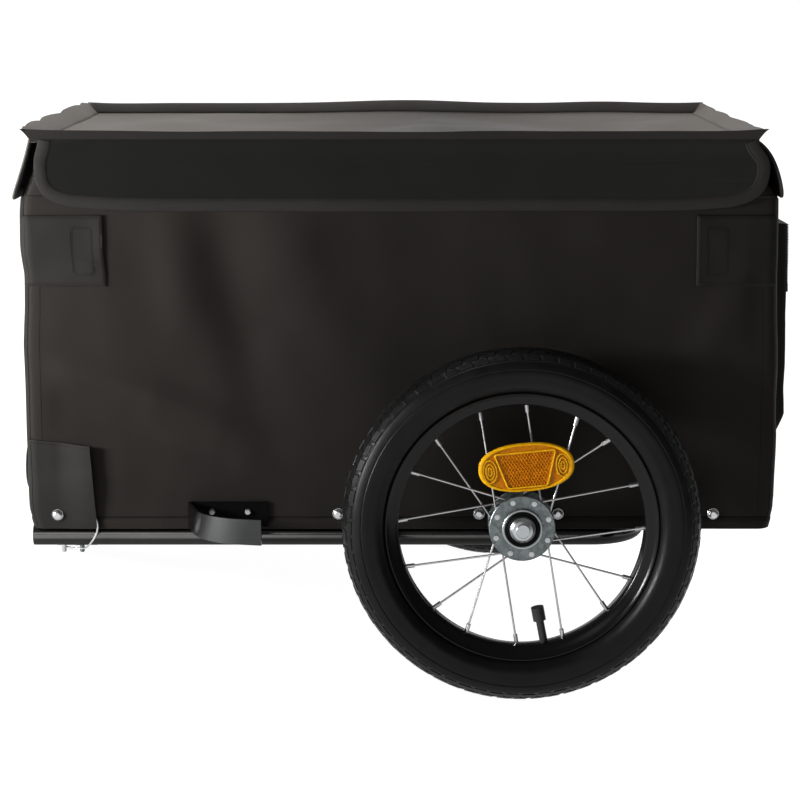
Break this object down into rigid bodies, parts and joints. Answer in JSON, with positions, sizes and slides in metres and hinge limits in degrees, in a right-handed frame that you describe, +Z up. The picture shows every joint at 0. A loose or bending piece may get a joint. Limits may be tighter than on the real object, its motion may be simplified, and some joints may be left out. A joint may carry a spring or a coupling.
{
  "type": "bicycle cargo trailer",
  "caption": "Bicycle cargo trailer with a fabric box on a steel tube frame, a hinged flap lid, spoked wheels, wheel guards and a drawbar folded under its front.",
  "frame": {"origin": "on the floor, under the middle of the parked trailer's bounding box", "axes": "+X towards the rear, +Y towards the trailer's right side, +Z up; parked nose down on its front rail"},
  "size_m": [0.8178, 0.624, 0.6055],
  "materials": {
    "steel_black": "satin",
    "tube_grey": "satin",
    "fabric_dark": "coated weave",
    "fabric_lid": "coated weave",
    "fabric_inner": "coated weave",
    "board": "matte",
    "zinc": "satin",
    "spoke_steel": "bright",
    "tyre_rubber": "matte",
    "rubber_black": "matte",
    "reflector_amber": "gloss",
    "reflector_white": "gloss",
    "reflector_red": "gloss"
  },
  "bodies": {
    "chassis": {"chassis_tube": "tube_grey", "floor_frame": "steel_black", "floor_panel": "board", "axle_receiver_left": "steel_black", "axle_receiver_right": "steel_black", "side_panel_left": "fabric_dark", "side_panel_right": "fabric_dark", "front_panel": "fabric_dark", "rear_panel": "fabric_dark", "box_frame": "steel_black", "rear_pocket": "fabric_dark", "front_reflectors": "reflector_white", "rear_reflectors": "reflector_red", "wheel_guard_left": "steel_black", "wheel_guard_right": "steel_black", "tow_bracket": "steel_black", "tow_pivot_pin": "zinc", "lock_pin": "zinc", "bracket_bolt": "zinc", "axle_left": "spoke_steel", "axle_right": "spoke_steel"},
    "lid": {"lid_panel": "fabric_lid", "lid_rim": "fabric_lid", "lid_skirt_left": "fabric_inner", "lid_skirt_front": "fabric_inner", "lid_skirt_rear": "fabric_inner"},
    "wheel_left": {"tyre_left": "tyre_rubber", "rim_left": "steel_black", "hub_left": "zinc", "spokes_left": "spoke_steel", "valve_left": "rubber_black", "wheel_reflector_left": "reflector_amber"},
    "wheel_right": {"tyre_right": "tyre_rubber", "rim_right": "steel_black", "hub_right": "zinc", "spokes_right": "spoke_steel", "valve_right": "rubber_black", "wheel_reflector_right": "reflector_amber"},
    "towbar": {"tow_arm": "tube_grey", "hitch_flex": "rubber_black", "hitch_clevis": "zinc"}
  },
  "joints": [
    {"name": "left_wheel_spin", "type": "hinge", "parent": "chassis", "child": "wheel_left", "pos_m": [0.16167, -0.283, 0.174], "axis": [0, 1, 0], "continuous": true},
    {"name": "right_wheel_spin", "type": "hinge", "parent": "chassis", "child": "wheel_right", "pos_m": [0.16167, 0.283, 0.174], "axis": [0, 1, 0], "continuous": true},
    {"name": "lid_hinge", "type": "hinge", "parent": "chassis", "child": "lid", "pos_m": [-0.05876, 0.231, 0.48618], "axis": [-0.9587, 0, -0.2845], "range_deg": [0, 160]},
    {"name": "towbar_swing", "type": "hinge", "parent": "chassis", "child": "towbar", "pos_m": [-0.25486, -0.183, 0.02222], "axis": [-0.2845, 0, 0.9587], "range_deg": [0, 90]}
  ]
}
